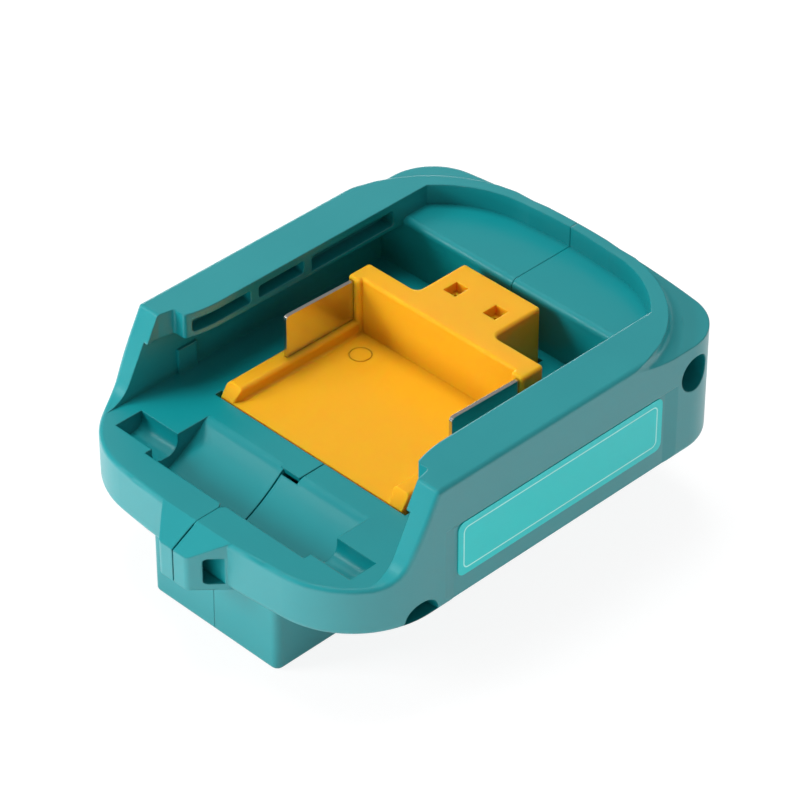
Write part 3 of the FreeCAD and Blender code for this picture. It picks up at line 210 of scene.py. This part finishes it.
def rolled_steel(name):
    """Rolled and plated sheet steel: bright, with fine streaks along the rolling direction."""
    material, tree = new_material(name)
    place = add(tree, "ShaderNodeTexCoord")
    stretch = add(tree, "ShaderNodeMapping", {"Vector": (place, "Object"), "Scale": STREAK_SQUEEZE})
    streaks = add(tree, "ShaderNodeTexNoise", {
        "Vector": (stretch, "Vector"), "Scale": 1 / STREAK_WIDTH, "Detail": 3.0})
    gloss = add(tree, "ShaderNodeMapRange", {
        "Value": (streaks, "Fac"), "From Min": NOISE_LOW, "From Max": NOISE_HIGH,
        "To Min": SHEET_ROUGHNESS_LOW, "To Max": SHEET_ROUGHNESS_HIGH})
    rounded = add(tree, "ShaderNodeBevel", {"Radius": SHEET_EDGE}, samples=4)
    bump = add(tree, "ShaderNodeBump", {
        "Height": (streaks, "Fac"), "Normal": (rounded, "Normal"), "Strength": STREAK_STRENGTH,
        "Distance": STREAK_DEPTH})
    skin = add(tree, "ShaderNodeBsdfPrincipled", {
        "Base Color": rgb(STEEL), "Roughness": (gloss, "Result"), "Metallic": 1.0,
        "Normal": (bump, "Normal")})
    add(tree, "ShaderNodeOutputMaterial", {"Surface": (skin, "BSDF")})
    return material


# Moulded ABS from an eroded tool: even teal with a satin sheen. The real grain is too fine to show, so it is
# drawn 0.2 mm wide. The denoiser draws lines where roughness crosses about 0.27, so here it stays above 0.28
teal_abs = moulded_plastic("teal_moulded_abs", TEAL, TEAL_DEEP, roughness=0.32,
                           grain=0.2 * MM, grain_depth=0.005 * MM, specular=0.9)

# Moulded nylon: warm amber that glows a little in its corners, duller than the ABS. Its grain, too, is drawn
# coarser than it is
amber_nylon = moulded_plastic("amber_moulded_nylon", AMBER, AMBER_DEEP, roughness=0.4,
                              grain=0.25 * MM, grain_depth=0.004 * MM, specular=0.35, glow=0.8)

# Rolled and plated steel: bright and slightly streaked, and it mirrors the plastic beside it
sheet_steel = rolled_steel("plated_sheet_steel")

# Printed polyester film: flat clear colour, very slightly smoother than the casing round it
label_film = plain("printed_polyester_film", LABEL_FILM, 0.3, edge=0.05 * MM, grain=0.5 * MM)

# Screen-printed ink: pale and a little duller than the film
label_ink = plain("pale_printing_ink", LABEL_LINE, 0.4, edge=0.01 * MM)

# Black plastic from a fine tool: dark satin with soft highlights on its rounded edges
black_moulding = plain("black_moulded_plastic", BUTTON_BLACK, 0.42, edge=0.3 * MM)

# Moulded polycarbonate: milky white with a glossy face
milky_lens = plain("milky_polycarbonate", LENS_MILK, 0.2, edge=0.2 * MM)

# Solder mask baked on glass fibre: deep green with an even gloss
solder_mask = plain("green_solder_mask", MASK_GREEN, 0.3)

# Moulded nylon without pigment: cream white and satin
cream_insulator = plain("white_moulded_nylon", INSULATOR_WHITE, 0.4)

# Bronze strip with a gold flash: yellow metal with fairly sharp highlights
gold_flash = plain("gold_flashed_phosphor_bronze", CONTACT_GOLD, 0.25, metallic=1.0)

# Steel blackened in an oxide bath: dark metal with a dim sheen
black_oxide = plain("black_oxide_steel", OXIDE_BLACK, 0.35, metallic=1.0, edge=0.2 * MM)

# Pressed and sintered ferrite: dull dark grey
ferrite = plain("sintered_ferrite", FERRITE_GREY, 0.6)

# Drawn aluminium can: pale bright metal
aluminium_can = plain("bright_aluminium_can", CAN_ALUMINIUM, 0.28, metallic=1.0)

# Extruded PVC: clear red and black with a smooth sheen
red_pvc = plain("red_pvc_insulation", LEAD_RED, 0.35)
black_pvc = plain("black_pvc_insulation", LEAD_BLACK, 0.35)

FINISHES = {
    "teal": teal_abs,
    "amber": amber_nylon,
    "steel": sheet_steel,
    "label": label_film,
    "board_green": solder_mask,
    "black_plastic": black_moulding,
    "white_plastic": cream_insulator,
    "lens": milky_lens,
    "gold": gold_flash,
    "ferrite": ferrite,
    "can": aluminium_can,
    "screw": black_oxide,
    "red_wire": red_pvc,
    "black_wire": black_pvc,
}

for part in frame["record"]["subparts"]:
    mesh = nodes[part["node"]].data
    mesh.materials.clear()
    mesh.materials.append(FINISHES[part["material_slot"]])


# Surfaces made in the scene

RIGHT = np.array([1.0, 0.0, 0.0])
UP = np.array([0.0, 0.0, 1.0])

LABEL_LINE_INSET = 1.3 * MM
LABEL_LINE_ROUND = 1.3 * MM
LABEL_LINE_WIDTH = 0.28 * MM
LABEL_LINE_HEIGHT = 0.02 * MM
LABEL_CORNER_POINTS = 12

# The tray floor's level is the holder's own, as in the part's source
TRAY_FLOOR = 28.0 * MM
EJECTOR_X = -15.2 * MM
EJECTOR_Y = 7.9 * MM
EJECTOR_RADIUS = 2.3 * MM
EJECTOR_RING_WIDTH = 0.2 * MM
EJECTOR_RING_HEIGHT = 0.02 * MM
EJECTOR_POINTS = 48


def closed_band(name, path, width, height, up):
    """Flat band round a closed path that runs counterclockwise seen from up.

    At each point of the path stands a rectangle with its outer lower corner on the point, width along the
    path's inward normal and height along up. The rectangles are joined in order, and the last to the first.
    The inward normal is up crossed with the line between the point's two neighbours.
    """
    count = len(path)
    ahead = np.roll(path, -1, axis=0) - np.roll(path, 1, axis=0)
    ahead /= np.linalg.norm(ahead, axis=1)[:, None]
    inward = np.cross(up, ahead)
    corners = [path, path + inward * width, path + inward * width + up * height, path + up * height]
    points = np.stack(corners, axis=1).reshape(-1, 3)
    sides = len(corners)
    here = np.arange(count)[:, None] * sides
    after = ((np.arange(count) + 1) % count)[:, None] * sides
    around = np.arange(sides)[None, :]
    beside = (around + 1) % sides
    faces = np.stack([here + around, after + around, after + beside, here + beside], axis=2).reshape(-1, 4)
    mesh = bpy.data.meshes.new(name)
    mesh.from_pydata(points.tolist(), [], faces.tolist())
    mesh.update()
    piece = bpy.data.objects.new(name, mesh)
    bpy.context.scene.collection.objects.link(piece)
    return piece


def rounded_loop(low, high, radius):
    """Rounded rectangle as a closed path in two coordinates, counterclockwise from its lower right corner.

    Each corner is its centre plus radius times the cosine and sine of an angle that runs a quarter turn.
    """
    turns = np.linspace(0, math.pi / 2, LABEL_CORNER_POINTS)
    centres = [(high[0] - radius, low[1] + radius), (high[0] - radius, high[1] - radius),
               (low[0] + radius, high[1] - radius), (low[0] + radius, low[1] + radius)]
    runs = []
    for quarter, centre in enumerate(centres):
        angle = turns + (quarter - 1) * math.pi / 2
        runs.append(centre + radius * np.column_stack([np.cos(angle), np.sin(angle)]))
    return np.concatenate(runs)


def make_label_line():
    """Pale border line printed round the label: a rounded rectangle on its outer face, inside its edge."""
    low, high = [np.array(corner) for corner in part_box("rating_label")]
    loop = rounded_loop(low[1:] + LABEL_LINE_INSET, high[1:] - LABEL_LINE_INSET, LABEL_LINE_ROUND)
    path = np.column_stack([np.full(len(loop), high[0]), loop])
    line = closed_band("label_border_line", path, LABEL_LINE_WIDTH, LABEL_LINE_HEIGHT, RIGHT)
    line.data.materials.append(label_ink)
    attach(line, "casing")


def make_ejector_mark():
    """Faint raised ring that an ejector pin left on the tray floor.

    It is a circle: the centre plus the radius times the cosine and sine of an angle that runs a full turn.
    """
    turn = np.linspace(0, 2 * math.pi, EJECTOR_POINTS, endpoint=False)
    path = np.column_stack([EJECTOR_X + EJECTOR_RADIUS * np.cos(turn),
                            EJECTOR_Y + EJECTOR_RADIUS * np.sin(turn),
                            np.full(EJECTOR_POINTS, TRAY_FLOOR)])
    ring = closed_band("ejector_pin_ring", path, EJECTOR_RING_WIDTH, EJECTOR_RING_HEIGHT, UP)
    ring.data.materials.append(amber_nylon)
    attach(ring, "casing")


make_label_line()
make_ejector_mark()


# Stage

FLOOR_HALF_SIDE = 3.0
FLOOR_LEVEL = -0.2 * MM
PAPER = (0.92, 0.92, 0.92, 1.0)
FLOOR_GLOW = 1.08
GLOW_SEEN_DIRECTLY = 0.82
GLOW_SEEN_IN_GLOSS = 0.3


def make_floor():
    """White paper floor: lit as paper, lifted to nearly pure white for the camera and a little in gloss."""
    far = FLOOR_HALF_SIDE
    corners = [(-far, -far, 0), (far, -far, 0), (far, far, 0), (-far, far, 0)]
    mesh = bpy.data.meshes.new("studio_floor")
    mesh.from_pydata(corners, [], [(0, 1, 2, 3)])
    material, tree = new_material("white_paper_sweep")
    paper = add(tree, "ShaderNodeBsdfDiffuse", {"Color": PAPER})
    glow = add(tree, "ShaderNodeEmission", {"Color": WHITE, "Strength": FLOOR_GLOW})
    paths = add(tree, "ShaderNodeLightPath")
    mirrored = add(tree, "ShaderNodeMath", {0: (paths, "Is Glossy Ray"), 1: (paths, "Is Transmission Ray")},
                   operation="MAXIMUM")
    faint = add(tree, "ShaderNodeMath", {0: (mirrored, "Value"), 1: GLOW_SEEN_IN_GLOSS}, operation="MULTIPLY")
    strong = add(tree, "ShaderNodeMath", {0: (paths, "Is Camera Ray"), 1: GLOW_SEEN_DIRECTLY},
                 operation="MULTIPLY")
    share = add(tree, "ShaderNodeMath", {0: (faint, "Value"), 1: (strong, "Value")}, operation="MAXIMUM")
    surface = add(tree, "ShaderNodeMixShader", {
        "Fac": (share, "Value"), 1: (paper, "BSDF"), 2: (glow, "Emission")})
    add(tree, "ShaderNodeOutputMaterial", {"Surface": (surface, "Shader")})
    mesh.materials.append(material)
    floor = bpy.data.objects.new("studio_floor", mesh)
    bpy.context.scene.collection.objects.link(floor)
    floor.location.z = FLOOR_LEVEL


# The room's light goes from ROOM_DIM, where a direction's height is ROOM_LOW, to ROOM_PALE at ROOM_HIGH
ROOM_LOW = 0.1
ROOM_HIGH = 0.6
ROOM_DIM = 0.12
ROOM_PALE = 0.36


def make_world():
    """Studio room: dim at the horizon and paler towards the ceiling, and plain white for the camera."""
    world = bpy.data.worlds.new("studio_world")
    bpy.context.scene.world = world
    world.use_nodes = True
    tree = world.node_tree
    tree.nodes.clear()
    paths = add(tree, "ShaderNodeLightPath")
    direction = add(tree, "ShaderNodeTexCoord")
    parts = add(tree, "ShaderNodeSeparateXYZ", {"Vector": (direction, "Generated")})
    level = add(tree, "ShaderNodeMapRange", {
        "Value": (parts, "Z"), "From Min": ROOM_LOW, "From Max": ROOM_HIGH,
        "To Min": ROOM_DIM, "To Max": ROOM_PALE})
    room = add(tree, "ShaderNodeBackground", {"Strength": (level, "Result"), "Color": WHITE})
    white = add(tree, "ShaderNodeBackground", {"Color": WHITE, "Strength": 1.0})
    mixed = add(tree, "ShaderNodeMixShader", {
        "Fac": (paths, "Is Camera Ray"), 1: (room, "Background"), 2: (white, "Background")})
    add(tree, "ShaderNodeOutputWorld", {"Surface": (mixed, "Shader")})


def look_at(thing, place, target):
    """Puts an object at place and turns it so that its -Z axis points to target."""
    thing.location = place
    thing.rotation_euler = (Vector(target) - Vector(place)).to_track_quat("-Z", "Y").to_euler()


PART_MIDDLE = (0.0, 0.0, 0.025)
CARD_LEVEL = 0.012
CARD_LENGTH = 0.4
CARD_HEIGHT = 0.02


def softbox(name, place, width, height, watts, target=PART_MIDDLE, mirrored=True):
    """Area lamp; where it isn't mirrored, gloss shows the room behind it instead."""
    lamp = bpy.data.lights.new(name, "AREA")
    lamp.shape = "RECTANGLE"
    lamp.size = width
    lamp.size_y = height
    lamp.energy = watts
    holder = bpy.data.objects.new(name, lamp)
    bpy.context.scene.collection.objects.link(holder)
    holder.visible_camera = False
    holder.visible_glossy = mirrored
    look_at(holder, place, target)


make_floor()
make_world()

softbox("front_softbox", place=(-0.52, -0.72, 0.42), width=0.36, height=0.36, watts=6.6, mirrored=False)
softbox("edge_softbox", place=(-0.58, -0.6, 0.54), width=0.12, height=0.12, watts=0.38)
softbox("rim_softbox", place=(-0.7, 0.5, 0.16), width=0.5, height=0.12, watts=1.2)
softbox("overhead_softbox", place=(-0.2, 0.1, 0.9), width=0.4, height=0.4, watts=5.4, mirrored=False)

# Low cards round the part add to the light that the paper throws up under its edges
for card, x, y, watts in (("front_card", 0.0, -0.3, 0.36), ("right_card", 0.3, 0.0, 0.14),
                          ("rear_card", 0.0, 0.3, 0.25), ("left_card", -0.3, 0.0, 0.25)):
    softbox(card, (x, y, CARD_LEVEL), CARD_LENGTH, CARD_HEIGHT, watts, (0.0, 0.0, CARD_LEVEL), mirrored=False)


# Camera

# Focal length, place and target were solved from the photograph's perspective
SENSOR_WIDTH = 36.0
PHOTO_WIDTH_PIXELS = 800
FOCAL_LENGTH_PIXELS = 3926.9
NEAREST_SEEN = 0.01
CAMERA_PLACE = (0.4166, -0.4081, 0.4757)
CAMERA_TARGET = (0.01581, -0.01217, 0.0447)

lens = bpy.data.cameras.new("photo_camera")
lens.sensor_width = SENSOR_WIDTH
lens.lens = FOCAL_LENGTH_PIXELS / PHOTO_WIDTH_PIXELS * SENSOR_WIDTH
lens.clip_start = NEAREST_SEEN
camera = bpy.data.objects.new("photo_camera", lens)
bpy.context.scene.collection.objects.link(camera)
look_at(camera, CAMERA_PLACE, CAMERA_TARGET)
bpy.context.scene.camera = camera

bpy.context.scene.view_settings.view_transform = "Standard"
